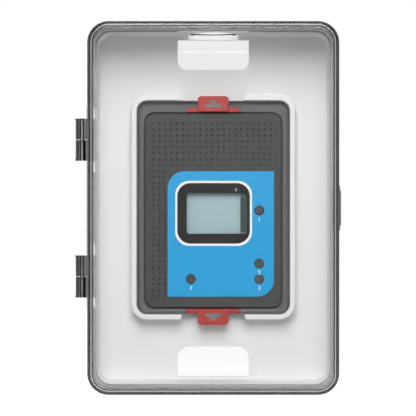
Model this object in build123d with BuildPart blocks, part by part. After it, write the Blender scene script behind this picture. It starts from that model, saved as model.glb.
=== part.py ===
"""Clear wall box with a hinged cover, a white carrier tray and a small wall controller inside.

Millimetres. X runs to the right, Z up, and the front faces -Y. The origin is the centre of the
back face, which lies against the wall. Heights are distances in front of that face.
"""
import os
from math import radians, tan

from build123d import *

os.makedirs("parts", exist_ok=True)

# box
box_width = 135.6
box_height = 201.0
box_depth = 54.0
wall = 1.8
box_corner = 11.5
cover_depth = 18.0
front_edge_round = 2.4
back_edge_round = 1.0
gasket_thickness = 0.8
gasket_inset = 0.25
body_gap = 0.3
running_gap = 0.05
picking_band = 0.01

# wall screws and cable entry
wall_screw_radius = 2.25
wall_screw_spacing_x = 96.0
wall_screw_spacing_z = 168.0
entry_radius = 14.1
entry_height = 17.0
entry_clearance = 0.5

# hinges on the left side
hinge_reach = 4.3
hinge_centres = (37.5, -37.5)
hinge_length = 23.1
barrel_radius = 3.7
collar_radius = 4.0
collar_length = 1.0
hinge_pin_radius = 1.25
rail_reach = 2.1
rail_thickness = 1.6
rail_length = 110.8
lip_depth = 3.0
lip_root = 2.0
lip_thickness = 1.2
slot_length = 6.5
slot_back = 7.0
slot_centres = (52.3, 22.9, -22.9, -52.3)

# latch on the right side
latch_height = 19.3
latch_thickness = 1.2
latch_pivot_drop = 11.0
latch_barrel_radius = 1.5
latch_tip_rise = 5.0
latch_pin_radius = 0.8
latch_ear_thickness = 2.5
catch_reach = 0.7
catch_rise = 2.4
catch_thickness = 1.6
catch_inset = 2.0
catch_clearance = 0.1
grip_reach = 0.35

# carrier tray
tray_floor_height = 13.4
tray_floor = 1.8
tray_edge_gap = 0.5
tray_wall = 1.0
tray_corner = 6.5
cutout_width = 40.5
cutout_edge = 78.75
cutout_margin = 1.6
cutout_radius_top = 5.0
cutout_radius_bottom = 7.0

# the pocket in the tray and the rim in front of it
pocket_wall = 1.4
pocket_lift = 1.8
rim_width = 92.5
rim_length = 127.0
rim_centre = 0.7
rim_corner = 9.0
rim_height = 9.0
rim_draft = 5.0
rim_gap = 35.5
rim_end_round = 3.5
rim_round = 1.0

# screws through the case's back and the tray into the base
tray_screw_x = 30.0
tray_screw_z = 45.0
tray_screw_head_radius = 2.8
tray_screw_head = 2.0
tray_screw_radius = 1.45
tray_screw_tip = 1.3
base_boss_radius = 4.0
boss_skin = 1.0

# controller case
case_width = 85.7
case_length = 119.8
case_centre = 0.5
case_corner = 5.8
case_wall = 1.8
case_lip = 1.0
case_lip_depth = 1.5
frame_thickness = 4.0
frame_rise = 2.2
frame_lip = 0.5
frame_cove = 2.0
face_width = 76.7
face_length = 109.2
face_centre = -1.3
face_corner = 5.2
face_top = 20.6
face_rise = 0.6
face_groove = 0.8
groove_depth = 0.8
face_round = 0.4

# wires into the case
wire_notch_width = 16.0
wire_notch_height = 4.8

# vents
vent_radius = 0.5
vent_columns = 21
vent_rows = 8
vent_pitch_x = 3.28
vent_pitch_z = 3.35
vent_left = -33.4
vent_top = 47.6
strip_columns = 3
strip_rows = 23
strip_pitch_x = 3.07
strip_pitch_z = 3.18
strip_top = 20.7

# label, display and keys
label_left = -25.7
label_right = 34.2
label_top = 20.8
label_bottom = -49.8
label_radius = 9.5
label_thickness = 0.4
ring_width = 43.2
ring_length = 36.6
ring_radius = 7.9
ring_thickness = 0.3
bezel_width = 40.3
bezel_length = 33.5
bezel_radius = 7.1
bezel_thickness = 1.0
bezel_rebate = 0.5
bezel_round = 0.3
display_x = 0.2
display_z = -2.9
glass_left = -15.0
glass_right = 19.0
glass_top = 8.5
glass_bottom = -14.4
glass_radius = 1.4
strip_width = 3.3
lamp_x = 12.8
lamp_z = 10.4
lamp_width = 0.9
lamp_length = 1.7
lamp_lift = 0.05
key_radius = 2.5
key_places = {
    "key_right_upper": (25.9, -1.2),
    "key_right_middle": (25.9, -31.2),
    "key_right_lower": (25.9, -39.9),
    "key_left_lower": (-12.6, -39.9),
}
key_lift = 0.6
key_round = 0.4
key_travel = 0.5
key_flange_radius = 3.2
key_flange = 0.8
key_stem_radius = 1.2
key_stem = 0.5
key_guide_gap = 0.08

# release tabs
tab_width = 17.4
tab_length = 8.8
tab_face_gap = 0.9
tab_travel = 1.2
tab_thickness = 2.3
tab_edge_round = 0.5
tab_lift = 0.1
tab_bar_width = 30.0
tab_bar_length = 2.1
tab_bar_thickness = 1.1
tab_flange_overhang = 1.8
tab_flange_length = 0.6
tab_flange = 0.8
tab_slot_depth = 2.0
tab_recess_room = 2.0
tab_lip = 1.3
tab_round = 2.0
tab_clearance = 0.3
hook_reach = 0.9
hook_gap = 0.2
ledge_width = 10.0
ledge_thickness = 1.0
arrow_wide = 9.0
arrow_narrow = 3.5
arrow_bar = 2.05
arrow_head = 1.85
arrow_margin = 2.6
arrow_depth = 0.4

# circuit board and what it carries
board_width = 69.6
board_top = 45.4
board_bottom = -48.0
board_gap = 4.8
board_thickness = 1.6
board_corner = 2.0
board_post_x = 31.3
board_post_top = 41.6
board_post_bottom = -44.6
board_post_radius = 2.2
board_screw_radius = 0.95
board_screw_head_radius = 2.0
board_screw_head = 1.5
board_screw_length = 4.5
switch_size = 6.0
switch_body = 2.4
switch_plunger_radius = 1.5
relay_width = 9.0
relay_length = 14.0
relay_height = 5.2
relay_round = 0.6
relay_places = ((-20.0, 18.0), (0.0, 18.0), (20.0, 18.0))
terminal_width = 40.0
terminal_length = 9.0
terminal_height = 5.0
terminal_z = 36.0
terminal_ways = 8
panel_margin = 1.6
panel_thickness = 2.0
panel_drop = 4.4

# sizes that follow from the ones above
parting = box_depth - cover_depth
base_rim = parting - gasket_thickness
inner_width = box_width - 2 * wall
inner_height = box_height - 2 * wall
inner_corner = box_corner - wall
side_x = box_width / 2
hinge_x = -side_x - hinge_reach
knuckle = hinge_length / 2 - body_gap / 2
lip_width = inner_width - 2 * body_gap
lip_length = inner_height - 2 * body_gap
lip_corner = inner_corner - body_gap
tray_width = inner_width - 2 * body_gap
tray_length = inner_height - 2 * body_gap
tray_back = tray_floor_height - tray_floor
tray_edge_height = parting - lip_depth - tray_edge_gap
pocket_back = wall + pocket_lift
case_floor_height = pocket_back + pocket_wall
case_floor_top = case_floor_height + case_wall
rim_foot = rim_height * tan(radians(rim_draft))
rim_front = tray_floor_height + rim_height
rim_side_x = (rim_gap + rim_width) / 2
latch_x = side_x + catch_reach + catch_clearance
latch_pivot_height = parting - latch_pivot_drop
latch_tip_height = parting + latch_tip_rise
catch_height = parting + catch_rise
latch_pivot_x = side_x + body_gap + latch_barrel_radius
face_plate = face_top - case_wall
frame_floor = face_top - face_rise
frame_top = frame_floor + frame_rise
case_split = frame_floor - frame_thickness
display_base = face_top + label_thickness
board_front = face_plate - board_gap
board_height = board_front - board_thickness
panel_rest_height = face_top - panel_drop
glass_width = glass_right - glass_left
glass_length = glass_top - glass_bottom
glass_x = (glass_right + glass_left) / 2
glass_z = (glass_top + glass_bottom) / 2
tab_back = frame_floor + tab_lift
tab_front = tab_back + tab_thickness
tab_floor = frame_floor - tab_slot_depth
tab_inner = face_length / 2 + tab_face_gap
tab_end = tab_inner + tab_length
tab_bar_outer = tab_inner + tab_bar_length
tab_flange_outer = tab_inner + tab_flange_length
tab_flange_width = tab_bar_width + 2 * tab_flange_overhang
tab_slot_start = tab_inner - 2 * tab_clearance
tab_slot_end = tab_flange_outer + tab_travel + tab_clearance
tab_recess_end = tab_bar_outer + tab_travel + tab_recess_room
arrow_tip = tab_end - arrow_margin
arrow_step = arrow_tip - arrow_head
arrow_foot = arrow_step - arrow_bar
hook_bottom = tray_floor_height + body_gap
ledge_bottom = case_split - ledge_thickness
case_top_z = case_centre + case_length / 2
notch_middle = (case_floor_top + board_height) / 2
wall_screw_places = [
    (sx * wall_screw_spacing_x / 2, sz * wall_screw_spacing_z / 2) for sx in (-1, 1) for sz in (-1, 1)
]
tray_screw_places = [(sx * tray_screw_x, sz * tray_screw_z) for sx in (-1, 1) for sz in (-1, 1)]
board_post_places = [(sx * board_post_x, z) for sx in (-1, 1) for z in (board_post_top, board_post_bottom)]


def level(height):
    """The plane at this height in front of the wall: its x is X and its y is Z."""
    return Plane.XZ.offset(height)


def across(low_z):
    """The flat plane at this Z: its x is X and its y is Y."""
    return Plane.XY.offset(low_z)


def save(item, name):
    item.label = name
    export_step(item, f"parts/{name}.step")


# The base: an open box whose back has the wall screw holes and the four posts for the tray.
with BuildPart() as base_shell:
    with BuildSketch(level(0)):
        RectangleRounded(box_width, box_height, box_corner)
    extrude(amount=base_rim)
    fillet(base_shell.faces().sort_by(Axis.Y)[-1].edges(), radius=back_edge_round)
    with BuildSketch(level(wall)):
        RectangleRounded(inner_width, inner_height, inner_corner)
    extrude(amount=base_rim, mode=Mode.SUBTRACT)
    with BuildSketch(level(wall / 2)):
        with Locations(*tray_screw_places):
            Circle(base_boss_radius)
    extrude(amount=pocket_back - wall / 2)
    with BuildSketch(level(boss_skin)):
        with Locations(*tray_screw_places):
            Circle(tray_screw_radius + running_gap)
    extrude(amount=pocket_back, mode=Mode.SUBTRACT)
    with BuildSketch(level(0)):
        with Locations(*wall_screw_places):
            Circle(wall_screw_radius)
    extrude(amount=wall, mode=Mode.SUBTRACT)
    # the round cable entry in the top wall
    with BuildSketch(across(inner_height / 2 - wall)):
        with Locations((0, -entry_height)):
            Circle(entry_radius)
    extrude(amount=3 * wall, mode=Mode.SUBTRACT)
    # four slots in the side wall beside the hinges
    with BuildSketch(level(slot_back)):
        with Locations(*[(-side_x + wall / 2, centre) for centre in slot_centres]):
            Rectangle(wall, slot_length)
    extrude(amount=base_rim - slot_back, mode=Mode.SUBTRACT)
    # the rail along the hinge side, cut back round the cover's knuckles
    with BuildSketch(across(-rail_length / 2)):
        with Locations((-side_x - rail_reach, -base_rim)):
            Rectangle(rail_reach + wall / 2, rail_thickness, align=(Align.MIN, Align.MIN))
    extrude(amount=rail_length)
    with BuildSketch(across(-hinge_length / 2 - body_gap), mode=Mode.PRIVATE) as knuckle_room:
        with Locations((hinge_x, -parting)):
            Circle(hinge_reach)
    for centre in hinge_centres:
        extrude(knuckle_room.sketch.moved(Location((0, 0, centre))), amount=hinge_length + 2 * body_gap,
                mode=Mode.SUBTRACT)
    # the lower knuckle of each hinge and the arm that carries it
    for centre in hinge_centres:
        with BuildSketch(across(centre - hinge_length / 2)):
            with Locations((hinge_x, -parting)):
                Circle(barrel_radius)
            with Locations((hinge_x, -base_rim)):
                Rectangle(hinge_reach + wall / 2, barrel_radius - gasket_thickness,
                          align=(Align.MIN, Align.MIN))
        extrude(amount=knuckle)
        with BuildSketch(across(centre - hinge_length / 2)):
            with Locations((hinge_x, -parting)):
                Circle(collar_radius)
        extrude(amount=collar_length)
        with BuildSketch(across(centre - hinge_length / 2)):
            with Locations((hinge_x, -parting)):
                Circle(hinge_pin_radius + running_gap)
        extrude(amount=knuckle, mode=Mode.SUBTRACT)
    # two ears for the latch
    for low in (-latch_height / 2 - body_gap - latch_ear_thickness, latch_height / 2 + body_gap):
        with BuildSketch(across(low)):
            with Locations((latch_pivot_x, -latch_pivot_height)):
                Circle(latch_barrel_radius)
            with Locations((side_x - wall / 2, -latch_pivot_height)):
                Rectangle(wall / 2 + body_gap + latch_barrel_radius, 2 * latch_barrel_radius,
                          align=(Align.MIN, Align.CENTER))
        extrude(amount=latch_ear_thickness)
        with BuildSketch(across(low)):
            with Locations((latch_pivot_x, -latch_pivot_height)):
                Circle(latch_pin_radius + running_gap)
        extrude(amount=latch_ear_thickness, mode=Mode.SUBTRACT)
save(base_shell.part, "base_shell")

# The cover: a clear lid with a lip that enters the base, and the upper knuckle of each hinge.
with BuildPart() as cover_shell:
    with BuildSketch(level(parting)):
        RectangleRounded(box_width, box_height, box_corner)
    extrude(amount=cover_depth)
    fillet(cover_shell.faces().sort_by(Axis.Y)[0].edges(), radius=front_edge_round)
    with BuildSketch(level(parting)):
        RectangleRounded(inner_width, inner_height, inner_corner)
    extrude(amount=cover_depth - wall, mode=Mode.SUBTRACT)
    fillet(cover_shell.faces().filter_by(Axis.Y).sort_by(Axis.Y)[1].edges(), radius=wall)
    with BuildSketch(level(parting)):
        RectangleRounded(inner_width + wall, inner_height + wall, inner_corner + wall / 2)
        RectangleRounded(lip_width - 2 * lip_thickness, lip_length - 2 * lip_thickness,
                         lip_corner - lip_thickness, mode=Mode.SUBTRACT)
    extrude(amount=lip_root)
    with BuildSketch(level(parting - lip_depth)):
        RectangleRounded(lip_width, lip_length, lip_corner)
        RectangleRounded(lip_width - 2 * lip_thickness, lip_length - 2 * lip_thickness,
                         lip_corner - lip_thickness, mode=Mode.SUBTRACT)
    extrude(amount=lip_depth)
    # four slots in the lip beside the hinges
    with BuildSketch(level(parting - lip_depth)):
        with Locations(*[(-inner_width / 2, centre) for centre in slot_centres]):
            Rectangle(body_gap + lip_thickness, slot_length, align=(Align.MIN, Align.CENTER))
    extrude(amount=lip_depth + lip_root, mode=Mode.SUBTRACT)
    with BuildSketch(across(-rail_length / 2)):
        with Locations((-side_x - rail_reach, -parting)):
            Rectangle(rail_reach + wall / 2, rail_thickness, align=(Align.MIN, Align.MAX))
    extrude(amount=rail_length)
    with BuildSketch(across(-hinge_length / 2 - body_gap), mode=Mode.PRIVATE) as cover_knuckle_room:
        with Locations((hinge_x, -parting)):
            Circle(hinge_reach)
    for centre in hinge_centres:
        extrude(cover_knuckle_room.sketch.moved(Location((0, 0, centre))),
                amount=hinge_length + 2 * body_gap, mode=Mode.SUBTRACT)
    for centre in hinge_centres:
        with BuildSketch(across(centre + body_gap / 2)):
            with Locations((hinge_x, -parting)):
                Circle(barrel_radius)
            with Locations((hinge_x, -parting)):
                Rectangle(hinge_reach + wall / 2, barrel_radius, align=(Align.MIN, Align.MAX))
        extrude(amount=knuckle)
        with BuildSketch(across(centre + hinge_length / 2 - collar_length)):
            with Locations((hinge_x, -parting)):
                Circle(collar_radius)
        extrude(amount=collar_length)
        with BuildSketch(across(centre + body_gap / 2)):
            with Locations((hinge_x, -parting)):
                Circle(hinge_pin_radius + running_gap)
        extrude(amount=knuckle, mode=Mode.SUBTRACT)
    # the small ledge that the latch closes over
    with BuildSketch(level(catch_height)):
        with Locations((side_x - wall / 2, 0)):
            Rectangle(wall / 2 + catch_reach, latch_height - 2 * catch_inset,
                      align=(Align.MIN, Align.CENTER))
    extrude(amount=catch_thickness)
save(cover_shell.part, "cover_shell")

# The flat seal between the rims.
with BuildPart() as cover_gasket:
    with BuildSketch(level(base_rim)):
        RectangleRounded(box_width - 2 * gasket_inset, box_height - 2 * gasket_inset,
                         box_corner - gasket_inset)
        RectangleRounded(inner_width + gasket_inset, inner_height + gasket_inset,
                         inner_corner + gasket_inset / 2, mode=Mode.SUBTRACT)
    extrude(amount=gasket_thickness)
save(cover_gasket.part, "cover_gasket")

# One steel pin for each hinge.
for centre, pin_name in zip(hinge_centres, ("hinge_pin_upper", "hinge_pin_lower")):
    with BuildPart() as hinge_pin:
        with BuildSketch(across(centre - hinge_length / 2)):
            with Locations((hinge_x, -parting)):
                Circle(hinge_pin_radius)
        extrude(amount=hinge_length)
    save(hinge_pin.part, pin_name)

# The latch: a barrel at the back, a flat blade along the wall and a finger grip at its tip.
with BuildPart() as side_latch:
    with BuildSketch(across(-latch_height / 2)):
        with Locations((latch_pivot_x, -latch_pivot_height)):
            Circle(latch_barrel_radius)
        with Locations((latch_x, -latch_tip_height)):
            Rectangle(latch_thickness, latch_tip_height - latch_pivot_height,
                      align=(Align.MIN, Align.MIN))
        with Locations((latch_x, -latch_tip_height)):
            Rectangle(latch_thickness + grip_reach, latch_thickness, align=(Align.MIN, Align.MIN))
    extrude(amount=latch_height)
    with BuildSketch(across(-latch_height / 2)):
        with Locations((latch_pivot_x, -latch_pivot_height)):
            Circle(latch_pin_radius + running_gap)
    extrude(amount=latch_height, mode=Mode.SUBTRACT)
save(side_latch.part, "side_latch")

with BuildPart() as latch_pin:
    with BuildSketch(across(-latch_height / 2 - body_gap - latch_ear_thickness)):
        with Locations((latch_pivot_x, -latch_pivot_height)):
            Circle(latch_pin_radius)
    extrude(amount=latch_height + 2 * body_gap + 2 * latch_ear_thickness)
save(latch_pin.part, "latch_pin")

# The white tray: a floor, an upright edge all round, cable cut-outs, and a pocket with a rim.
with BuildPart() as carrier_tray:
    with BuildSketch(level(tray_back)):
        RectangleRounded(tray_width, tray_length, lip_corner)
    extrude(amount=tray_edge_height - tray_back)
    with BuildSketch(level(tray_floor_height)):
        RectangleRounded(tray_width - 2 * tray_wall, tray_length - 2 * tray_wall, tray_corner)
    extrude(amount=tray_edge_height, mode=Mode.SUBTRACT)
    with BuildSketch(level(tray_floor_height)):
        with Locations((0, rim_centre)):
            RectangleRounded(rim_width + 2 * rim_foot, rim_length + 2 * rim_foot, rim_corner + rim_foot)
    extrude(amount=rim_height, taper=rim_draft)
    fillet(carrier_tray.faces().filter_by_position(
        Axis.Y, -rim_front - picking_band, -rim_front + picking_band)[0].edges(), radius=rim_round)
    with BuildSketch(level(pocket_back)):
        with Locations((0, case_centre)):
            RectangleRounded(case_width + 2 * body_gap + 2 * pocket_wall,
                             case_length + 2 * body_gap + 2 * pocket_wall,
                             case_corner + body_gap + pocket_wall)
    extrude(amount=tray_floor_height - pocket_back)
    with BuildSketch(level(case_floor_height)):
        with Locations((0, case_centre)):
            RectangleRounded(case_width + 2 * body_gap, case_length + 2 * body_gap, case_corner + body_gap)
    extrude(amount=rim_front - case_floor_height, mode=Mode.SUBTRACT)
    # the rim is open above and below, with round ends
    with BuildSketch(level(tray_floor_height)):
        with Locations((0, rim_centre)):
            Rectangle(rim_gap + 2 * rim_end_round, rim_length + 2 * rim_foot)
        with Locations((-rim_side_x, rim_centre), (rim_side_x, rim_centre)):
            RectangleRounded(rim_width, rim_length + 2 * rim_foot, rim_end_round, mode=Mode.SUBTRACT)
    extrude(amount=rim_height, mode=Mode.SUBTRACT)
    with BuildSketch(level(pocket_back)):
        with Locations(*tray_screw_places):
            Circle(tray_screw_radius + body_gap)
    extrude(amount=pocket_wall, mode=Mode.SUBTRACT)
    # wires pass through the pocket's upper wall
    with BuildSketch(across(case_top_z)):
        with Locations((0, -notch_middle)):
            Rectangle(wire_notch_width, wire_notch_height)
    extrude(amount=body_gap + pocket_wall, mode=Mode.SUBTRACT)
    # the two cut-outs, with round corners on their inner side only
    cut_depth = tray_length / 2 - tray_wall - cutout_margin - cutout_edge
    for sign, radius in ((1, cutout_radius_top), (-1, cutout_radius_bottom)):
        with BuildSketch(level(tray_back)) as cutout:
            with Locations((0, sign * (cutout_edge + cut_depth / 2))):
                Rectangle(cutout_width, cut_depth)
            fillet(cutout.vertices().filter_by_position(
                Axis.Y, sign * cutout_edge - picking_band, sign * cutout_edge + picking_band), radius=radius)
        extrude(amount=tray_floor, mode=Mode.SUBTRACT)
    # a slightly larger round hole in the tray's edge, behind the cable entry
    with BuildSketch(across(tray_length / 2 - tray_wall)):
        with Locations((0, -entry_height)):
            Circle(entry_radius + entry_clearance)
    extrude(amount=2 * tray_wall, mode=Mode.SUBTRACT)
save(carrier_tray.part, "carrier_tray")

with BuildPart() as tray_screws:
    with BuildSketch(level(case_floor_top)):
        with Locations(*tray_screw_places):
            Circle(tray_screw_head_radius)
    extrude(amount=tray_screw_head)
    with BuildSketch(level(tray_screw_tip)):
        with Locations(*tray_screw_places):
            Circle(tray_screw_radius)
    extrude(amount=case_floor_top - tray_screw_tip)
    with BuildSketch(level(case_floor_top + tray_screw_head)):
        with Locations(*tray_screw_places):
            Rectangle(tray_screw_head_radius, tray_screw_head / 4)
            Rectangle(tray_screw_head / 4, tray_screw_head_radius)
    extrude(amount=-tray_screw_head / 2, mode=Mode.SUBTRACT)
save(tray_screws.part, "tray_screws")

# The back half of the controller case, with two ledges that the release tabs hook under.
with BuildPart() as case_back:
    with BuildSketch(level(case_floor_height)):
        with Locations((0, case_centre)):
            RectangleRounded(case_width, case_length, case_corner)
    extrude(amount=case_split - case_floor_height)
    for sign in (1, -1):
        with BuildSketch(level(ledge_bottom)):
            with Locations((0, face_centre)):
                Rectangle(ledge_width, tab_end - tab_lip - body_gap,
                          align=(Align.CENTER, Align.MIN if sign > 0 else Align.MAX))
        extrude(amount=ledge_thickness)
    with BuildSketch(level(case_floor_top)):
        with Locations((0, case_centre)):
            RectangleRounded(case_width - 2 * case_wall, case_length - 2 * case_wall,
                             case_corner - case_wall)
    extrude(amount=case_split, mode=Mode.SUBTRACT)
    with BuildSketch(level(case_floor_height)):
        with Locations(*tray_screw_places):
            Circle(tray_screw_radius + body_gap)
    extrude(amount=case_wall, mode=Mode.SUBTRACT)
    with BuildSketch(across(case_top_z - case_wall)):
        with Locations((0, -notch_middle)):
            Rectangle(wire_notch_width, wire_notch_height)
    extrude(amount=case_wall, mode=Mode.SUBTRACT)
save(case_back.part, "case_back")

# The front half: a dished frame, the face in it, its windows and posts, and a lip at the back.
with BuildPart() as case_front:
    with BuildSketch(level(case_split)):
        with Locations((0, case_centre)):
            RectangleRounded(case_width, case_length, case_corner)
    extrude(amount=frame_top - case_split)
    with BuildSketch(level(frame_top)):
        with Locations((0, case_centre)):
            RectangleRounded(case_width - 2 * frame_lip, case_length - 2 * frame_lip,
                             case_corner - frame_lip)
    extrude(amount=frame_floor - frame_top, mode=Mode.SUBTRACT)
    fillet(case_front.faces().filter_by_position(
        Axis.Y, -frame_floor - picking_band, -frame_floor + picking_band)[0].edges(), radius=frame_cove)
    with BuildSketch(level(case_split)):
        with Locations((0, face_centre)):
            RectangleRounded(face_width, face_length, face_corner)
    extrude(amount=face_top - case_split)
    fillet(case_front.faces().filter_by_position(
        Axis.Y, -face_top - picking_band, -face_top + picking_band)[0].edges(), radius=face_round)
    with BuildSketch(level(frame_floor - groove_depth)):
        with Locations((0, face_centre)):
            RectangleRounded(face_width + 2 * face_groove, face_length + 2 * face_groove,
                             face_corner + face_groove)
            RectangleRounded(face_width, face_length, face_corner, mode=Mode.SUBTRACT)
    extrude(amount=groove_depth, mode=Mode.SUBTRACT)
    with BuildSketch(level(case_split)):
        with Locations((0, face_centre)):
            RectangleRounded(face_width - 2 * case_wall, face_length - 2 * case_wall,
                             face_corner - case_wall)
    extrude(amount=face_plate - case_split, mode=Mode.SUBTRACT)
    # the lip that enters the back half
    with BuildSketch(level(case_split - case_lip_depth)):
        with Locations((0, case_centre)):
            RectangleRounded(case_width - 2 * case_wall - 2 * body_gap,
                             case_length - 2 * case_wall - 2 * body_gap, case_corner - case_wall)
            RectangleRounded(case_width - 2 * case_wall - 2 * body_gap - 2 * case_lip,
                             case_length - 2 * case_wall - 2 * body_gap - 2 * case_lip,
                             case_corner - case_wall - case_lip, mode=Mode.SUBTRACT)
    extrude(amount=case_lip_depth)
    # posts for the board
    with BuildSketch(level(board_front)):
        with Locations(*board_post_places):
            Circle(board_post_radius)
    extrude(amount=face_plate - board_front + case_wall / 2)
    with BuildSketch(level(board_front)):
        with Locations(*board_post_places):
            Circle(board_screw_radius + running_gap)
    extrude(amount=board_screw_length - board_thickness + body_gap, mode=Mode.SUBTRACT)
    # display opening and key holes
    with BuildSketch(level(face_plate)):
        with Locations((glass_x, glass_z)):
            RectangleRounded(glass_width, glass_length, glass_radius)
        with Locations(*key_places.values()):
            Circle(key_radius + key_guide_gap)
    extrude(amount=case_wall, mode=Mode.SUBTRACT)
    # vents over the top of the face and down its left side
    with BuildSketch(level(face_plate)):
        for column in range(vent_columns):
            for row in range(vent_rows):
                with Locations((vent_left + column * vent_pitch_x, vent_top - row * vent_pitch_z)):
                    Circle(vent_radius)
        for column in range(strip_columns):
            for row in range(strip_rows):
                with Locations((vent_left + column * strip_pitch_x, strip_top - row * strip_pitch_z)):
                    Circle(vent_radius)
    extrude(amount=case_wall, mode=Mode.SUBTRACT)
    # T-shaped slots for the release tabs, the same above and below the face
    for sign in (1, -1):
        with BuildSketch(level(tab_floor)):
            with Locations((0, face_centre + sign * (tab_slot_start + tab_slot_end) / 2)):
                Rectangle(tab_flange_width + 2 * tab_clearance, tab_slot_end - tab_slot_start)
        extrude(amount=tab_flange + 2 * tab_lift, mode=Mode.SUBTRACT)
        with BuildSketch(level(tab_floor)):
            with Locations((0, face_centre + sign * (tab_slot_start + tab_slot_end) / 2)):
                Rectangle(tab_bar_width + 2 * tab_clearance, tab_slot_end - tab_slot_start)
        extrude(amount=frame_top - tab_floor, mode=Mode.SUBTRACT)
        with BuildSketch(level(frame_floor)):
            with Locations((0, face_centre + sign * (tab_slot_start + tab_recess_end) / 2)):
                Rectangle(tab_bar_width + 2 * tab_clearance, tab_recess_end - tab_slot_start)
            with Locations((0, face_centre + sign * (tab_slot_start + tab_end) / 2)):
                Rectangle(tab_width + 2 * tab_clearance, tab_end - tab_slot_start)
        extrude(amount=frame_top - frame_floor, mode=Mode.SUBTRACT)
save(case_front.part, "case_front")

# The circuit board with its screws, switches, relays and terminal block.
with BuildPart() as circuit_board:
    with BuildSketch(level(board_height)):
        with Locations((0, (board_top + board_bottom) / 2)):
            RectangleRounded(board_width, board_top - board_bottom, board_corner)
        with Locations(*board_post_places):
            Circle(board_screw_radius + body_gap, mode=Mode.SUBTRACT)
    extrude(amount=board_thickness)
save(circuit_board.part, "circuit_board")

with BuildPart() as board_screws:
    with BuildSketch(level(board_height - board_screw_head)):
        with Locations(*board_post_places):
            Circle(board_screw_head_radius)
    extrude(amount=board_screw_head)
    with BuildSketch(level(board_height)):
        with Locations(*board_post_places):
            Circle(board_screw_radius)
    extrude(amount=board_screw_length)
    with BuildSketch(level(board_height - board_screw_head)):
        with Locations(*board_post_places):
            Rectangle(board_screw_head_radius, board_screw_head / 4)
            Rectangle(board_screw_head / 4, board_screw_head_radius)
    extrude(amount=board_screw_head / 2, mode=Mode.SUBTRACT)
save(board_screws.part, "board_screws")

with BuildPart() as key_switches:
    with BuildSketch(level(board_front)):
        with Locations(*key_places.values()):
            Rectangle(switch_size, switch_size)
    extrude(amount=switch_body)
    with BuildSketch(level(board_front + switch_body)):
        with Locations(*key_places.values()):
            Circle(switch_plunger_radius)
    extrude(amount=face_plate - key_flange - key_stem - key_travel - 2 * running_gap
            - board_front - switch_body)
save(key_switches.part, "key_switches")

with BuildPart() as relays:
    with BuildSketch(level(board_height - relay_height)):
        with Locations(*relay_places):
            Rectangle(relay_width, relay_length)
    extrude(amount=relay_height)
    fillet(relays.edges().filter_by(Axis.Y), radius=relay_round)
save(relays.part, "relays")

with BuildPart() as terminal_block:
    with BuildSketch(level(board_height - terminal_height)):
        with Locations((0, terminal_z)):
            Rectangle(terminal_width, terminal_length)
    extrude(amount=terminal_height)
    terminal_pitch = terminal_width / terminal_ways
    with BuildSketch(level(board_height - terminal_height)):
        with Locations((0, terminal_z)):
            with GridLocations(terminal_pitch, terminal_length, terminal_ways, 1):
                Circle(terminal_pitch / 3)
    extrude(amount=terminal_height / 2, mode=Mode.SUBTRACT)
save(terminal_block.part, "terminal_block")

# The display: a holder on the board, the panel, its dark edge strip, the window and the bezel.
with BuildPart() as display_holder:
    with BuildSketch(level(board_front)):
        with Locations((glass_x, glass_z)):
            Rectangle(glass_width + 2 * panel_margin, glass_length + 2 * panel_margin)
            Rectangle(glass_width - 2 * panel_margin, glass_length - 2 * panel_margin, mode=Mode.SUBTRACT)
    extrude(amount=panel_rest_height - board_front)
save(display_holder.part, "display_holder")

with BuildPart() as display_panel:
    with BuildSketch(level(panel_rest_height)):
        with Locations((glass_x, glass_z)):
            Rectangle(glass_width + 2 * panel_margin, glass_length + 2 * panel_margin)
    extrude(amount=panel_thickness)
save(display_panel.part, "display_panel")

with BuildPart() as display_edge_strip:
    with BuildSketch(level(panel_rest_height + panel_thickness)):
        with Locations((glass_right - body_gap - strip_width / 2, glass_z)):
            Rectangle(strip_width, glass_length - 2 * glass_radius)
    extrude(amount=face_top - body_gap - panel_rest_height - panel_thickness)
save(display_edge_strip.part, "display_edge_strip")

with BuildPart() as display_window:
    with BuildSketch(level(face_top)):
        with Locations((glass_x, glass_z)):
            RectangleRounded(glass_width + bezel_rebate, glass_length + bezel_rebate, glass_radius)
    extrude(amount=label_thickness)
save(display_window.part, "display_window")

with BuildPart() as display_bezel:
    with BuildSketch(level(face_top)):
        with Locations((display_x, display_z)):
            RectangleRounded(bezel_width, bezel_length, bezel_radius)
    extrude(amount=bezel_thickness)
    fillet(display_bezel.faces().sort_by(Axis.Y)[0].edges(), radius=bezel_round)
    with BuildSketch(level(face_top)):
        with Locations((glass_x, glass_z)):
            RectangleRounded(glass_width, glass_length, glass_radius)
        with Locations((lamp_x, lamp_z)):
            Rectangle(lamp_width, lamp_length)
    extrude(amount=bezel_thickness, mode=Mode.SUBTRACT)
    with BuildSketch(level(face_top)):
        with Locations((glass_x, glass_z)):
            RectangleRounded(glass_width + bezel_rebate + 2 * body_gap,
                             glass_length + bezel_rebate + 2 * body_gap, glass_radius + body_gap)
    extrude(amount=label_thickness, mode=Mode.SUBTRACT)
save(display_bezel.part, "display_bezel")

with BuildPart() as signal_lamp:
    with BuildSketch(level(face_top)):
        with Locations((lamp_x, lamp_z)):
            Rectangle(lamp_width, lamp_length)
    extrude(amount=bezel_thickness + lamp_lift)
save(signal_lamp.part, "signal_lamp")

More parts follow.
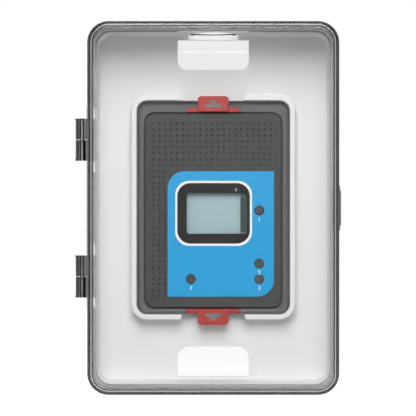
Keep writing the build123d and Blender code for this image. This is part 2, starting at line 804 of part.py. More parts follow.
# The label and the white ring that frames the display.
with BuildPart() as face_label:
    with BuildSketch(level(face_top)) as label_outline:
        with Locations(((label_left + label_right) / 2, (label_top + label_bottom) / 2)):
            Rectangle(label_right - label_left, label_top - label_bottom)
        corners = label_outline.vertices().sort_by(Axis.X)
        round_top = corners[:2].sort_by(Axis.Y)[-1]
        round_bottom = corners[2:].sort_by(Axis.Y)[0]
        fillet([round_top, round_bottom], radius=label_radius)
        with Locations((display_x, display_z)):
            RectangleRounded(bezel_width + 2 * body_gap, bezel_length + 2 * body_gap,
                             bezel_radius + body_gap, mode=Mode.SUBTRACT)
        with Locations(*key_places.values()):
            Circle(key_radius + body_gap, mode=Mode.SUBTRACT)
    extrude(amount=label_thickness)
save(face_label.part, "face_label")

with BuildPart() as display_ring:
    with BuildSketch(level(display_base)):
        with Locations((display_x, display_z)):
            RectangleRounded(ring_width, ring_length, ring_radius)
            RectangleRounded(bezel_width + 2 * body_gap, bezel_length + 2 * body_gap,
                             bezel_radius + body_gap, mode=Mode.SUBTRACT)
    extrude(amount=ring_thickness)
save(display_ring.part, "display_ring")

# Four push keys, each its own piece.
for key_name, place in key_places.items():
    with BuildPart() as key:
        with BuildSketch(level(face_plate - key_flange)):
            with Locations(place):
                Circle(key_flange_radius)
        extrude(amount=key_flange)
        with BuildSketch(level(face_plate - key_flange)):
            with Locations(place):
                Circle(key_radius)
        extrude(amount=display_base + key_lift - face_plate + key_flange)
        fillet(key.faces().sort_by(Axis.Y)[0].edges(), radius=key_round)
        with BuildSketch(level(face_plate - key_flange - key_stem)):
            with Locations(place):
                Circle(key_stem_radius)
        extrude(amount=key_stem)
    save(key.part, key_name)

# The two red release tabs, each with a hook at its outer end, and the grey arrows let into them.
for sign, side in ((1, "upper"), (-1, "lower")):
    with BuildPart() as tab:
        with BuildSketch(level(tab_back)) as tab_outline:
            with Locations((0, face_centre + sign * (tab_inner + tab_end) / 2)):
                Rectangle(tab_width, tab_end - tab_inner)
            outer_edge = face_centre + sign * tab_end
            fillet(tab_outline.vertices().filter_by_position(
                Axis.Y, outer_edge - picking_band, outer_edge + picking_band), radius=tab_round)
        extrude(amount=tab_thickness)
        fillet(tab.faces().sort_by(Axis.Y)[0].edges(), radius=tab_edge_round)
        with BuildSketch(level(tab_back)):
            with Locations((0, face_centre + sign * (tab_inner + tab_bar_outer) / 2)):
                Rectangle(tab_bar_width, tab_bar_outer - tab_inner)
        extrude(amount=tab_bar_thickness)
        with BuildSketch(level(tab_floor + tab_lift)):
            with Locations((0, face_centre + sign * (tab_inner + tab_flange_outer) / 2)):
                Rectangle(tab_bar_width, tab_flange_outer - tab_inner)
        extrude(amount=tab_slot_depth)
        with BuildSketch(level(tab_floor + tab_lift)):
            with Locations((0, face_centre + sign * (tab_inner + tab_flange_outer) / 2)):
                Rectangle(tab_flange_width, tab_flange_outer - tab_inner)
        extrude(amount=tab_flange)
        with BuildSketch(level(hook_bottom)):
            with Locations((0, face_centre + sign * (tab_end - tab_lip / 2))):
                Rectangle(tab_width - 2 * tab_round, tab_lip)
        extrude(amount=tab_front - hook_bottom)
        with BuildSketch(level(hook_bottom)):
            with Locations((0, face_centre + sign * (tab_end - (tab_lip + hook_reach) / 2))):
                Rectangle(tab_width - 2 * tab_round, tab_lip + hook_reach)
        extrude(amount=ledge_bottom - hook_gap - hook_bottom)
        with BuildSketch(level(tab_front - arrow_depth)):
            with Locations((0, face_centre + sign * (arrow_foot + arrow_step) / 2)):
                Rectangle(arrow_wide, arrow_step - arrow_foot)
            with Locations((0, face_centre + sign * (arrow_step + arrow_tip) / 2)):
                Rectangle(arrow_narrow, arrow_tip - arrow_step)
        extrude(amount=arrow_depth, mode=Mode.SUBTRACT)
    save(tab.part, f"release_tab_{side}")
    with BuildPart() as arrow:
        with BuildSketch(level(tab_front - arrow_depth)):
            with Locations((0, face_centre + sign * (arrow_foot + arrow_step) / 2)):
                Rectangle(arrow_wide, arrow_step - arrow_foot)
            with Locations((0, face_centre + sign * (arrow_step + arrow_tip) / 2)):
                Rectangle(arrow_narrow, arrow_tip - arrow_step)
        extrude(amount=arrow_depth)
    save(arrow.part, f"tab_arrow_{side}")
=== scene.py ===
# %% [markdown]
# # A clear wall box with a small controller inside
# The box hangs on a wall and keeps the weather off a small electronic controller. Its base and
# cover are moulded from clear plastic, so the job in Blender is mostly one of looks: plastic that
# you can see through, a white tray that catches soft light, and a matt grey case with a blue label.
# The shapes come from the CAD model, which is loaded first and never moved. What is left to do here
# is a finish for each piece, the printed numbers, the light and the camera.

import math

import bpy
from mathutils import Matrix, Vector


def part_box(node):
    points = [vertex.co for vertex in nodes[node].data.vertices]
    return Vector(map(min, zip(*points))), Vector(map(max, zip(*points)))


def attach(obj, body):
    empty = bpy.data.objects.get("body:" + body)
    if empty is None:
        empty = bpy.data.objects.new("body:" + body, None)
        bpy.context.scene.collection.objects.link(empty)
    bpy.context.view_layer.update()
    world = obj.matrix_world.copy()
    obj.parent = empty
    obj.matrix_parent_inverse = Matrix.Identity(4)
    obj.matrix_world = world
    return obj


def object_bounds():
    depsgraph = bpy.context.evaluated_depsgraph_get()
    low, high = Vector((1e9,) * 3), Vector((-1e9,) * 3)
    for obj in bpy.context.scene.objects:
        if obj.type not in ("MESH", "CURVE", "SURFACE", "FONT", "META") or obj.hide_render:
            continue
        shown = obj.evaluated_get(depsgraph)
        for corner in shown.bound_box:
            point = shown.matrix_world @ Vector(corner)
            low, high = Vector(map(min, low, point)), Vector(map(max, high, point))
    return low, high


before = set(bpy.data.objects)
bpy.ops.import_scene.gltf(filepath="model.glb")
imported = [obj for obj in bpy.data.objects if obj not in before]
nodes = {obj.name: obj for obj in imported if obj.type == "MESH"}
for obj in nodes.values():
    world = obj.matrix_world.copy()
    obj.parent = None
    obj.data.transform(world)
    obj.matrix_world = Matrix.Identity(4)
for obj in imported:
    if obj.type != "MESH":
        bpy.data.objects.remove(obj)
cad_low, cad_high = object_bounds()
print("nodes", len(nodes), "low", list(cad_low), "high", list(cad_high))

# %% [markdown]
# ## Three small helpers
# Materials here are built from many small nodes. Three helpers keep that short: one adds a piece
# of arithmetic, one stretches a range of values to 0 to 1, and one adds a node group and sets its
# numbers.

# %% Node helpers


def math_node(tree, operation, first, second=None):
    """One Math node. An input may be a number or another node's output."""
    node = tree.nodes.new("ShaderNodeMath")
    node.operation = operation
    for socket, value in zip(node.inputs, (first, second)):
        if value is None:
            continue
        if isinstance(value, (int, float)):
            socket.default_value = value
        else:
            tree.links.new(value, socket)
    return node.outputs[0]


def range_node(tree, value, start=0.0, end=1.0):
    """A Map Range node whose result is 0 at start and 1 at end, unless its outer sockets say more."""
    node = tree.nodes.new("ShaderNodeMapRange")
    node.inputs["From Min"].default_value = start
    node.inputs["From Max"].default_value = end
    tree.links.new(value, node.inputs["Value"])
    return node


def group_node(material, group, **values):
    node = material.node_tree.nodes.new("ShaderNodeGroup")
    node.node_tree = group
    for label, value in values.items():
        node.inputs[label].default_value = value
    return node


print("helpers", math_node.__name__, range_node.__name__, group_node.__name__)

# %% [markdown]
# ## A grain for moulded plastic
# A plastic moulding is never perfectly even: the steel mould leaves a very fine grain, which
# breaks up the shine. It could be modelled, but at a fraction of a millimetre it belongs in the
# material. Several plastics here share it, so it is made once as a node group. The group puts out
# a roughness and a height that change over the surface, and each material decides how to use them.

# %% The grain group


def make_grain_group():
    """A roughness and a height that follow a fine noise of the given size."""
    group = bpy.data.node_groups.new("mould_grain", "ShaderNodeTree")
    for label, start in (("Size", 0.0004), ("Smoothest", 0.35), ("Roughest", 0.5)):
        socket = group.interface.new_socket(label, in_out="INPUT", socket_type="NodeSocketFloat")
        socket.default_value = start
    for label in ("Roughness", "Height"):
        group.interface.new_socket(label, in_out="OUTPUT", socket_type="NodeSocketFloat")
    inside = group.nodes.new("NodeGroupInput").outputs
    outside = group.nodes.new("NodeGroupOutput").inputs
    place = group.nodes.new("ShaderNodeTexCoord")
    noise = group.nodes.new("ShaderNodeTexNoise")
    noise.inputs["Detail"].default_value = 3.0
    group.links.new(place.outputs["Object"], noise.inputs["Vector"])
    group.links.new(math_node(group, "DIVIDE", 1.0, inside["Size"]), noise.inputs["Scale"])
    spread = range_node(group, noise.outputs["Fac"])
    group.links.new(inside["Smoothest"], spread.inputs["To Min"])
    group.links.new(inside["Roughest"], spread.inputs["To Max"])
    group.links.new(spread.outputs["Result"], outside["Roughness"])
    group.links.new(noise.outputs["Fac"], outside["Height"])
    return group


grain_group = make_grain_group()
print("made group", grain_group.name)

# %% [markdown]
# ## Slight unevenness of colour
# Pigment and handling make a moulding a little lighter or darker from place to place. The second
# group takes a colour and returns it with a slow, faint drift, so that no large face is one flat
# tone. It is used by the solid plastics, by the rubber and by the printed film.

# %% The colour drift group


def make_drift_group():
    """The given colour, made lighter and darker by a slow noise."""
    group = bpy.data.node_groups.new("colour_drift", "ShaderNodeTree")
    group.interface.new_socket("Color", in_out="INPUT", socket_type="NodeSocketColor")
    for label, start in (("Size", 0.03), ("Amount", 0.04)):
        socket = group.interface.new_socket(label, in_out="INPUT", socket_type="NodeSocketFloat")
        socket.default_value = start
    group.interface.new_socket("Color", in_out="OUTPUT", socket_type="NodeSocketColor")
    inside = group.nodes.new("NodeGroupInput").outputs
    outside = group.nodes.new("NodeGroupOutput").inputs
    place = group.nodes.new("ShaderNodeTexCoord")
    noise = group.nodes.new("ShaderNodeTexNoise")
    noise.inputs["Detail"].default_value = 2.0
    group.links.new(place.outputs["Object"], noise.inputs["Vector"])
    group.links.new(math_node(group, "DIVIDE", 1.0, inside["Size"]), noise.inputs["Scale"])
    spread = range_node(group, noise.outputs["Fac"])
    group.links.new(math_node(group, "SUBTRACT", 1.0, inside["Amount"]), spread.inputs["To Min"])
    group.links.new(math_node(group, "ADD", 1.0, inside["Amount"]), spread.inputs["To Max"])
    shade = group.nodes.new("ShaderNodeMix")
    shade.data_type = "RGBA"
    shade.blend_type = "MULTIPLY"
    shade.inputs["Factor"].default_value = 1.0
    group.links.new(inside["Color"], shade.inputs["A"])
    group.links.new(spread.outputs["Result"], shade.inputs["B"])
    group.links.new(shade.outputs["Result"], outside["Color"])
    return group


drift_group = make_drift_group()
print("made group", drift_group.name)

# %% [markdown]
# ## One recipe for every solid plastic
# Matt case, satin tray and glossy film differ only in a few numbers, so one function builds them
# all: colour drift into Base Color, grain into Roughness, and grain again as a very shallow bump.

# %% Solid plastic


def solid_plastic(name, colour, smoothest, roughest, grain=0.0004, bump=0.00001, drift=0.03,
                  drift_size=0.03):
    material = bpy.data.materials.new(name)
    material.use_nodes = True
    tree = material.node_tree
    surface = tree.nodes["Principled BSDF"]
    tone = group_node(material, drift_group, Size=drift_size, Amount=drift)
    tone.inputs["Color"].default_value = (*colour, 1)
    texture = group_node(material, grain_group, Size=grain, Smoothest=smoothest, Roughest=roughest)
    relief = tree.nodes.new("ShaderNodeBump")
    relief.inputs["Strength"].default_value = 0.5
    relief.inputs["Distance"].default_value = bump
    tree.links.new(tone.outputs["Color"], surface.inputs["Base Color"])
    tree.links.new(texture.outputs["Roughness"], surface.inputs["Roughness"])
    tree.links.new(texture.outputs["Height"], relief.inputs["Height"])
    tree.links.new(relief.outputs["Normal"], surface.inputs["Normal"])
    return material


def finish_nodes(material, *names):
    for name in names:
        mesh = nodes[name].data
        mesh.materials.clear()
        mesh.materials.append(material)
    print(material.name, "on", ", ".join(names))


# %% [markdown]
# ## The white tray
# The tray is a satin white moulding. It is the largest pale surface in the picture, so its colour
# stays below pure white: then the shade under its upper edge can be seen.

# %% White tray
tray_white = solid_plastic("tray_white", (0.80, 0.80, 0.80), 0.45, 0.6, grain=0.0006, drift=0.01)
finish_nodes(tray_white, "carrier_tray")

# %% [markdown]
# ## The controller case
# The case and its push keys are the same dark grey, with a fine matt grain. The frame round the
# face is the same plastic, and its lighter grey is painted light, for the light the frame catches.
# Frame and face are one moulding, so the material has to tell them apart by place: a point lies
# outside the face when its distance to a rounded rectangle is more than zero. The distance is
# worked out in a node group, so that any panel can use it.

# %% The panel mask group


def make_panel_group():
    """A mask that is 0 on a rounded rectangle in the XZ plane and 1 outside it."""
    group = bpy.data.node_groups.new("panel_mask", "ShaderNodeTree")
    for label in ("Centre X", "Centre Z", "Half Width", "Half Height", "Corner", "Softness"):
        group.interface.new_socket(label, in_out="INPUT", socket_type="NodeSocketFloat")
    group.interface.new_socket("Color", in_out="INPUT", socket_type="NodeSocketColor")
    group.interface.new_socket("Outside Color", in_out="INPUT", socket_type="NodeSocketColor")
    group.interface.new_socket("Color", in_out="OUTPUT", socket_type="NodeSocketColor")
    inside = group.nodes.new("NodeGroupInput").outputs
    outside = group.nodes.new("NodeGroupOutput")
    place = group.nodes.new("ShaderNodeTexCoord")
    split = group.nodes.new("ShaderNodeSeparateXYZ")
    group.links.new(place.outputs["Object"], split.inputs["Vector"])
    squares = []
    for axis, centre, half in (("X", "Centre X", "Half Width"), ("Z", "Centre Z", "Half Height")):
        offset = math_node(group, "SUBTRACT", split.outputs[axis], inside[centre])
        reach = math_node(group, "SUBTRACT", math_node(group, "ABSOLUTE", offset), inside[half])
        beyond = math_node(group, "MAXIMUM", math_node(group, "ADD", reach, inside["Corner"]), 0.0)
        squares.append(math_node(group, "MULTIPLY", beyond, beyond))
    length = math_node(group, "SQRT", math_node(group, "ADD", *squares))
    distance = math_node(group, "SUBTRACT", length, inside["Corner"])
    spread = range_node(group, distance)
    group.links.new(inside["Softness"], spread.inputs["From Max"])
    blend = group.nodes.new("ShaderNodeMix")
    blend.data_type = "RGBA"
    group.links.new(spread.outputs["Result"], blend.inputs["Factor"])
    group.links.new(inside["Color"], blend.inputs["A"])
    group.links.new(inside["Outside Color"], blend.inputs["B"])
    group.links.new(blend.outputs["Result"], outside.inputs["Color"])
    return group


panel_group = make_panel_group()
print("made group", panel_group.name)

# %% Case and keys
KEYS = ("key_right_upper", "key_right_middle", "key_right_lower", "key_left_lower")
FACE_GREY = (0.045, 0.048, 0.047)
# painted light: the frame is the face's own dark plastic, painted a lighter grey for the light it
# catches
FRAME_PAINTED_LIGHT = (0.118, 0.117, 0.115)
FACE_WIDTH = 0.0767
FACE_HEIGHT = 0.1092
FACE_CENTRE_Z = -0.0013
FACE_CORNER = 0.0052
GROOVE = 0.0008


def case_material(name):
    """Dark grey plastic with painted light on its frame: outside the face and its groove it is painted a
    lighter grey.
    """
    material = solid_plastic(name, FACE_GREY, 0.5, 0.7, bump=0.00002)
    tree = material.node_tree
    surface = tree.nodes["Principled BSDF"]
    tone = surface.inputs["Base Color"].links[0].from_socket
    panel = group_node(material, panel_group, **{
        "Centre X": 0.0, "Centre Z": FACE_CENTRE_Z, "Half Width": FACE_WIDTH / 2 + GROOVE,
        "Half Height": FACE_HEIGHT / 2 + GROOVE, "Corner": FACE_CORNER + GROOVE, "Softness": GROOVE / 4})
    panel.inputs["Outside Color"].default_value = (*FRAME_PAINTED_LIGHT, 1)
    tree.links.new(tone, panel.inputs["Color"])
    tree.links.new(panel.outputs["Color"], surface.inputs["Base Color"])
    return material


case_grey = case_material("case_grey")
key_grey = solid_plastic("key_grey", (0.055, 0.058, 0.059), 0.4, 0.6)
finish_nodes(case_grey, "case_back", "case_front")
finish_nodes(key_grey, *KEYS)

# %% [markdown]
# ## Label, ring, bezel and display
# The label is a printed film, so it is smoother than the case and its colour is even. The bezel
# is a satin black moulding. The panel behind the window is a blank liquid crystal display, which
# looks like pale grey green paper, and its right edge is a dark strip.

# %% Label and display finishes
label_blue = solid_plastic("label_blue", (0.010, 0.335, 0.675), 0.35, 0.45, bump=0.000004, drift=0.01)
ring_white = solid_plastic("ring_white", (0.90, 0.90, 0.90), 0.35, 0.45, drift=0.01)
bezel_black = solid_plastic("bezel_black", (0.012, 0.010, 0.011), 0.3, 0.42)
panel_green = solid_plastic("panel_green", (0.385, 0.55, 0.575), 0.3, 0.4, drift=0.015)
strip_dark = solid_plastic("strip_dark", (0.035, 0.056, 0.052), 0.35, 0.5)
lamp_grey = solid_plastic("lamp_grey", (0.42, 0.42, 0.44), 0.25, 0.35)
finish_nodes(label_blue, "face_label")
finish_nodes(ring_white, "display_ring")
finish_nodes(bezel_black, "display_bezel")
finish_nodes(panel_green, "display_panel")
finish_nodes(strip_dark, "display_edge_strip")
finish_nodes(lamp_grey, "signal_lamp")

# %% [markdown]
# ## Red tabs and their arrows
# The two tabs that release the controller are red so that a hand finds them. A grey arrow is let
# into each and points the way it slides.

# %% Tabs
tab_red = solid_plastic("tab_red", (0.40, 0.034, 0.031), 0.4, 0.55)
arrow_grey = solid_plastic("arrow_grey", (0.17, 0.16, 0.155), 0.45, 0.6)
finish_nodes(tab_red, "release_tab_upper", "release_tab_lower")
finish_nodes(arrow_grey, "tab_arrow_upper", "tab_arrow_lower")

# %% [markdown]
# ## Inside the controller
# These pieces show only when the case is open, yet each has a proper finish: green board, black
# switches, blue relays and a green terminal block.

# %% Inner pieces
board_green = solid_plastic("board_green", (0.012, 0.075, 0.035), 0.25, 0.4, drift=0.05)
switch_black = solid_plastic("switch_black", (0.03, 0.03, 0.032), 0.4, 0.55)
relay_blue = solid_plastic("relay_blue", (0.035, 0.12, 0.40), 0.35, 0.5)
terminal_green = solid_plastic("terminal_green", (0.05, 0.30, 0.13), 0.4, 0.55)
finish_nodes(board_green, "circuit_board")
finish_nodes(switch_black, "key_switches", "display_holder")
finish_nodes(relay_blue, "relays")
finish_nodes(terminal_green, "terminal_block")

# %% [markdown]
# ## The seal
# A flat dark silicone ring lies between the rims. It is seen end on through the clear wall, and
# helps to make the outline of the box dark. Silicone is softer in its shine than plastic.

# %% Seal
seal_grey = solid_plastic("seal_grey", (0.035, 0.036, 0.038), 0.6, 0.8, grain=0.0008)
finish_nodes(seal_grey, "cover_gasket")

# %% [markdown]
# ## Steel pins and screws
# Turned steel has fine rings round its axis. A noise stretched along one direction gives the same
# streaked shine without any modelling.

# %% Steel


def turned_steel(name, colour):
    material = bpy.data.materials.new(name)
    material.use_nodes = True
    tree = material.node_tree
    surface = tree.nodes["Principled BSDF"]
    surface.inputs["Base Color"].default_value = (*colour, 1)
    surface.inputs["Metallic"].default_value = 1.0
    place = tree.nodes.new("ShaderNodeTexCoord")
    stretch = tree.nodes.new("ShaderNodeMapping")
    stretch.inputs["Scale"].default_value = (300, 300, 9000)
    streaks = tree.nodes.new("ShaderNodeTexNoise")
    streaks.inputs["Scale"].default_value = 1.0
    spread = tree.nodes.new("ShaderNodeMapRange")
    spread.inputs["To Min"].default_value = 0.22
    spread.inputs["To Max"].default_value = 0.42
    tree.links.new(place.outputs["Object"], stretch.inputs["Vector"])
    tree.links.new(stretch.outputs["Vector"], streaks.inputs["Vector"])
    tree.links.new(streaks.outputs["Fac"], spread.inputs["Value"])
    tree.links.new(spread.outputs["Result"], surface.inputs["Roughness"])
    return material


pin_steel = turned_steel("pin_steel", (0.66, 0.67, 0.68))
finish_nodes(pin_steel, "hinge_pin_upper", "hinge_pin_lower", "latch_pin", "tray_screws", "board_screws")

# %% [markdown]
# ## Clear smoked plastic
# The base, cover and latch are clear polycarbonate with a faint smoke tint. Looking straight
# through the front there is almost nothing to see. The side walls, met at a slant, are painted a
# little grey, and the rounded edges nearly black: this is painted shade, standing in for the way
# they send the view off to the side and a long way through the plastic. A node group gives the
# front, the sides and the rounded edges each its own colour, taken from the way the moulding faces
# at that point; on the sides and the edges that colour is painted shade. Absorption inside the
# solid adds to it. Light from the lamps has to reach the tray, so shadow rays and bounced rays pass
# straight through, with nearly no loss in front and with some through the sides.

# %% The painted edge shade group
FLAT_TINT = (0.99, 0.99, 0.99)
# painted shade: these colours darken the side walls and rounded edges of the clear parts, set by the way
# the surface faces
SIDE_PAINTED_SHADE = (0.66, 0.665, 0.67)
COVER_SIDE_PAINTED_SHADE = (0.22, 0.222, 0.226)
ROUND_PAINTED_SHADE = (0.03, 0.031, 0.033)
FRONT_PASS = (0.98, 0.98, 0.98)
SIDE_PASS = (0.55, 0.55, 0.55)
SMOKE_COLOUR = (0.52, 0.535, 0.55)
SMOKE_DENSITY = 12.0
WINDOW_DENSITY = 2.0
# how far forward a surface faces where each painted shade, and the loss of passed light, begins and is
# complete
ROUND_SHADE_BAND = (0.995, 0.95)
SIDE_SHADE_BAND = (0.15, 0.05)
PASS_BAND = (0.9, 0.5)


def forward_share(tree):
    """How far the surface faces straight forward or back: 1 on the front, 0 on the sides."""
    place = tree.nodes.new("ShaderNodeTexCoord")
    split = tree.nodes.new("ShaderNodeSeparateXYZ")
    tree.links.new(place.outputs["Normal"], split.inputs["Vector"])
    return math_node(tree, "ABSOLUTE", split.outputs["Y"])


def make_edge_tint_group():
    """Three colours: the clear tint for flat faces in front, painted shade for the sides, painted shade
    for what is round between.
    """
    group = bpy.data.node_groups.new("painted_edge_shade", "ShaderNodeTree")
    for label in ("Flat", "Round", "Side"):
        group.interface.new_socket(label, in_out="INPUT", socket_type="NodeSocketColor")
    group.interface.new_socket("Color", in_out="OUTPUT", socket_type="NodeSocketColor")
    inside = group.nodes.new("NodeGroupInput").outputs
    outside = group.nodes.new("NodeGroupOutput")
    forward = forward_share(group)
    tone = inside["Flat"]
    for band, label in ((ROUND_SHADE_BAND, "Round"), (SIDE_SHADE_BAND, "Side")):
        blend = group.nodes.new("ShaderNodeMix")
        blend.data_type = "RGBA"
        group.links.new(range_node(group, forward, *band).outputs["Result"], blend.inputs["Factor"])
        group.links.new(tone, blend.inputs["A"])
        group.links.new(inside[label], blend.inputs["B"])
        tone = blend.outputs["Result"]
    group.links.new(tone, outside.inputs["Color"])
    return group


painted_edge_shade_group = make_edge_tint_group()
print("made group", painted_edge_shade_group.name)

# %% Clear plastic


def clear_plastic(name, round_shade, side_shade, side_pass, density):
    material = bpy.data.materials.new(name)
    material.use_nodes = True
    tree = material.node_tree
    surface = tree.nodes["Principled BSDF"]
    output = tree.nodes["Material Output"]
    # painted shade on the sides and rounded edges, the clear tint in front
    tint = group_node(material, painted_edge_shade_group)
    for label, colour in (("Flat", FLAT_TINT), ("Round", round_shade), ("Side", side_shade)):
        tint.inputs[label].default_value = (*colour, 1)
    tree.links.new(tint.outputs["Color"], surface.inputs["Base Color"])
    surface.inputs["Transmission Weight"].default_value = 1.0
    surface.inputs["IOR"].default_value = 1.5
    surface.inputs["Specular IOR Level"].default_value = 0.4
    haze = group_node(material, grain_group, Size=0.002, Smoothest=0.0, Roughest=0.004)
    tree.links.new(haze.outputs["Roughness"], surface.inputs["Roughness"])
    smoke = tree.nodes.new("ShaderNodeVolumeAbsorption")
    smoke.inputs["Color"].default_value = (*SMOKE_COLOUR, 1)
    smoke.inputs["Density"].default_value = density
    # what light passes on its way to the tray: nearly all in front, less through the sides
    through = tree.nodes.new("ShaderNodeBsdfTransparent")
    through.inputs["Color"].default_value = (*FRONT_PASS, 1)
    through_side = tree.nodes.new("ShaderNodeBsdfTransparent")
    through_side.inputs["Color"].default_value = (*side_pass, 1)
    passed = tree.nodes.new("ShaderNodeMixShader")
    sideways = range_node(tree, forward_share(tree), *PASS_BAND)
    tree.links.new(sideways.outputs["Result"], passed.inputs["Fac"])
    tree.links.new(through.outputs["BSDF"], passed.inputs[1])
    tree.links.new(through_side.outputs["BSDF"], passed.inputs[2])
    rays = tree.nodes.new("ShaderNodeLightPath")
    passing = math_node(tree, "MAXIMUM", rays.outputs["Is Shadow Ray"], rays.outputs["Is Diffuse Ray"])
    choice = tree.nodes.new("ShaderNodeMixShader")
    tree.links.new(passing, choice.inputs["Fac"])
    tree.links.new(surface.outputs["BSDF"], choice.inputs[1])
    tree.links.new(passed.outputs["Shader"], choice.inputs[2])
    tree.links.new(choice.outputs["Shader"], output.inputs["Surface"])
    tree.links.new(smoke.outputs["Volume"], output.inputs["Volume"])
    return material


smoked_clear = clear_plastic("smoked_clear", ROUND_PAINTED_SHADE, SIDE_PAINTED_SHADE, SIDE_PASS, SMOKE_DENSITY)
smoked_cover = clear_plastic("smoked_cover", ROUND_PAINTED_SHADE, COVER_SIDE_PAINTED_SHADE, SIDE_PASS, SMOKE_DENSITY)
window_clear = clear_plastic("window_clear", SIDE_PAINTED_SHADE, SIDE_PAINTED_SHADE, FRONT_PASS, WINDOW_DENSITY)
finish_nodes(smoked_clear, "base_shell", "side_latch")
finish_nodes(smoked_cover, "cover_shell")
finish_nodes(window_clear, "display_window")

# %% [markdown]
# ## The clear edge of the cable entry
# The hole in the top wall is cut clean, so light comes straight through it, and its wall is kept
# free of the painted shade that darkens the rounded edges. The panel mask finds the place, and
# keeps the flat tint there.

# %% Cable entry
ENTRY_Z = 0.0996
ENTRY_HALF_WIDTH = 0.0143
ENTRY_HALF_HEIGHT = 0.0015
ENTRY_SOFTNESS = 0.0002
# the painted edge shade is left off the wall of the cable hole
hole_without_painted_shade = group_node(smoked_clear, panel_group, **{
    "Centre X": 0.0, "Centre Z": ENTRY_Z, "Half Width": ENTRY_HALF_WIDTH,
    "Half Height": ENTRY_HALF_HEIGHT, "Corner": ENTRY_SOFTNESS, "Softness": ENTRY_SOFTNESS})
hole_without_painted_shade.inputs["Color"].default_value = (*FLAT_TINT, 1)
smoked_tree = smoked_clear.node_tree
smoked_colour = smoked_tree.nodes["Principled BSDF"].inputs["Base Color"]
smoked_tree.links.new(smoked_colour.links[0].from_socket, hole_without_painted_shade.inputs["Outside Color"])
smoked_tree.links.new(hole_without_painted_shade.outputs["Color"], smoked_colour)
print("clear edge at height", ENTRY_Z)

# %% [markdown]
# ## Printed numbers
# Each key has a small white number printed under it. A text object is the simplest way to draw
# one. It lies flat on the label, a few hundredths of a millimetre thick, and rides with the base,
# to which the controller is fixed.

# %% Numbers
PRINT_SIZE = 0.0034
PRINT_THICKNESS = 0.00002
PRINT_GAP = 0.0002
print_white = solid_plastic("print_white", (0.88, 0.90, 0.91), 0.4, 0.5, drift=0.01)
label_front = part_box("face_label")[0][1]


def printed_number(number, key):
    low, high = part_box(key)
    curve = bpy.data.curves.new(f"number_{number}", "FONT")
    curve.body = str(number)
    curve.size = PRINT_SIZE
    curve.extrude = PRINT_THICKNESS
    curve.align_x = "CENTER"
    curve.align_y = "TOP"
    curve.materials.append(print_white)
    text = bpy.data.objects.new(f"number_{number}", curve)
    text.rotation_euler = (math.pi / 2, 0, 0)
    text.location = ((low[0] + high[0]) / 2, label_front - PRINT_THICKNESS, low[2] - PRINT_GAP)
    bpy.context.scene.collection.objects.link(text)
    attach(text, "base")
    return text


numbers = [printed_number(number, key) for number, key in enumerate(KEYS, start=1)]
print("printed", [text.name for text in numbers])

# %% [markdown]
# ## Floor and world
# The picture has a pure white ground. The world is white for the camera, and for what is seen in
# or through the plastic, but dimmer as a light, so that the white tray keeps its shading. The
# floor does the same: it shows white, less the shadow that falls on it. The room behind the
# photographer is dark, and the shiny front mirrors it.

# %% World
WORLD_LIGHT = 0.31
DARK_ROOM = 0.06
ROOM_EDGE = 0.35


def seen_directly(tree):
    """A value that is 1 for camera, glossy and transmission rays."""
    rays = tree.nodes.new("ShaderNodeLightPath").outputs
    through = math_node(tree, "MAXIMUM", rays["Is Camera Ray"], rays["Is Transmission Ray"])
    return math_node(tree, "MAXIMUM", through, rays["Is Glossy Ray"])


world = bpy.data.worlds.new("white_studio")
bpy.context.scene.world = world
world.use_nodes = True
sky = world.node_tree
ambient = sky.nodes["Background"]
ambient.inputs["Color"].default_value = (1, 1, 1, 1)
ambient.inputs["Strength"].default_value = WORLD_LIGHT
backdrop = sky.nodes.new("ShaderNodeBackground")
backdrop.inputs["Color"].default_value = (1, 1, 1, 1)
backdrop.inputs["Strength"].default_value = 1.0
pick = sky.nodes.new("ShaderNodeMixShader")
sky.links.new(seen_directly(sky), pick.inputs["Fac"])
sky.links.new(ambient.outputs["Background"], pick.inputs[1])
sky.links.new(backdrop.outputs["Background"], pick.inputs[2])
direction = sky.nodes.new("ShaderNodeTexCoord")
parts = sky.nodes.new("ShaderNodeSeparateXYZ")
sky.links.new(direction.outputs["Generated"], parts.inputs["Vector"])
towards_room = range_node(sky, parts.outputs["Y"], -ROOM_EDGE, -2 * ROOM_EDGE)
room_rays = sky.nodes.new("ShaderNodeLightPath")
mirrored = math_node(sky, "MULTIPLY", towards_room.outputs["Result"], room_rays.outputs["Is Glossy Ray"])
room = sky.nodes.new("ShaderNodeBackground")
room.inputs["Strength"].default_value = DARK_ROOM
scene_or_room = sky.nodes.new("ShaderNodeMixShader")
sky.links.new(mirrored, scene_or_room.inputs["Fac"])
sky.links.new(pick.outputs["Shader"], scene_or_room.inputs[1])
sky.links.new(room.outputs["Background"], scene_or_room.inputs[2])
sky.links.new(scene_or_room.outputs["Shader"], sky.nodes["World Output"].inputs["Surface"])
print("world light", WORLD_LIGHT)

# %% Floor
FLOOR_SIZE = 3.0
FLOOR_FRONT = 0.35
FLOOR_DROP = 0.06
FLOOR_GLOW = 0.75
floor_z = cad_low[2] - FLOOR_DROP
bpy.ops.mesh.primitive_plane_add(size=FLOOR_SIZE, location=(0, FLOOR_SIZE / 2 - FLOOR_FRONT, floor_z))
floor = bpy.context.object
floor.name = "floor"
floor_paint = bpy.data.materials.new("floor_paint")
floor_paint.use_nodes = True
paint = floor_paint.node_tree
matt = paint.nodes["Principled BSDF"]
matt.inputs["Base Color"].default_value = (0.8, 0.8, 0.8, 1)
matt.inputs["Roughness"].default_value = 0.9
matt.inputs["Specular IOR Level"].default_value = 0.1
glow = paint.nodes.new("ShaderNodeEmission")
glow.inputs["Strength"].default_value = FLOOR_GLOW
none = paint.nodes.new("ShaderNodeEmission")
none.inputs["Strength"].default_value = 0.0
lit = paint.nodes.new("ShaderNodeMixShader")
total = paint.nodes.new("ShaderNodeAddShader")
paint.links.new(seen_directly(paint), lit.inputs["Fac"])
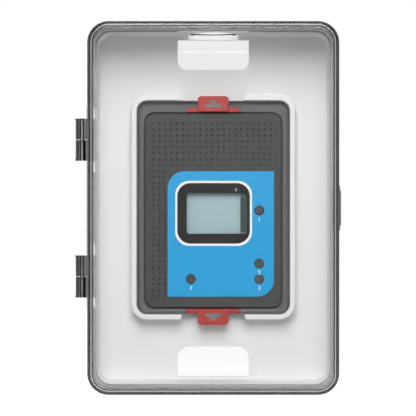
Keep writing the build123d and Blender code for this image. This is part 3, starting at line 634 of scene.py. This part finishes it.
paint.links.new(none.outputs["Emission"], lit.inputs[1])
paint.links.new(glow.outputs["Emission"], lit.inputs[2])
paint.links.new(matt.outputs["BSDF"], total.inputs[0])
paint.links.new(lit.outputs["Shader"], total.inputs[1])
paint.links.new(total.outputs["Shader"], paint.nodes["Material Output"].inputs["Surface"])
floor.data.materials.append(floor_paint)
print("floor at", floor_z)

# %% [markdown]
# ## Lamps
# The tray is darkest under its upper edge and the rim round the controller throws its shadow
# downwards, so the main light is a wide lamp above and in front. It hangs just high enough that
# the flat front of the cover does not mirror it into the camera. A weak lamp on either side keeps
# the edges of the tray even.

# %% Lamps


def area_lamp(name, place, target, width, height, power):
    data = bpy.data.lights.new(name, "AREA")
    data.shape = "RECTANGLE"
    data.size = width
    data.size_y = height
    data.energy = power
    lamp = bpy.data.objects.new(name, data)
    lamp.location = place
    lamp.rotation_euler = (Vector(target) - Vector(place)).to_track_quat("-Z", "Y").to_euler()
    bpy.context.scene.collection.objects.link(lamp)
    return lamp


middle = ((cad_low[0] + cad_high[0]) / 2, (cad_low[1] + cad_high[1]) / 2, 0.0)
key_lamp = area_lamp("key_lamp", (0.0, -1.06, 0.72), middle, 0.7, 0.85, 15.2)
left_lamp = area_lamp("left_lamp", (-1.2, -1.0, 0.05), middle, 0.6, 0.9, 1.2)
right_lamp = area_lamp("right_lamp", (1.2, -1.0, 0.05), middle, 0.6, 0.9, 1.2)
print("lamps", key_lamp.name, left_lamp.name, right_lamp.name)

# %% [markdown]
# ## Camera
# The photograph looks straight at the cover from about 63 cm, a little below the middle of the
# box, because the side walls are seen all round and the round hole in the top wall shows. The
# scale at the cover's front gives the focal length. The picture's centre is not quite the point
# that the lens faces, and a very small shift takes care of that.

# %% Camera
IMAGE_SIDE = 416
SENSOR = 36.0
CAMERA_DISTANCE = 0.630
FRONT_SCALE = 0.0005355
CAMERA_HEIGHT = -0.00214
AIM_COLUMN = 213.25
AIM_ROW = 212.0
lens_data = bpy.data.cameras.new("camera")
lens_data.sensor_fit = "HORIZONTAL"
lens_data.sensor_width = SENSOR
lens_data.lens = CAMERA_DISTANCE / FRONT_SCALE / IMAGE_SIDE * SENSOR
lens_data.shift_x = (IMAGE_SIDE / 2 - AIM_COLUMN) / IMAGE_SIDE
lens_data.shift_y = (AIM_ROW - IMAGE_SIDE / 2) / IMAGE_SIDE
camera = bpy.data.objects.new("camera", lens_data)
camera.location = (0, cad_low[1] - CAMERA_DISTANCE, CAMERA_HEIGHT)
camera.rotation_euler = (math.pi / 2, 0, 0)
bpy.context.scene.collection.objects.link(camera)
bpy.context.scene.camera = camera
bpy.context.scene.view_settings.view_transform = "Standard"
print("lens", round(lens_data.lens, 2), "mm")
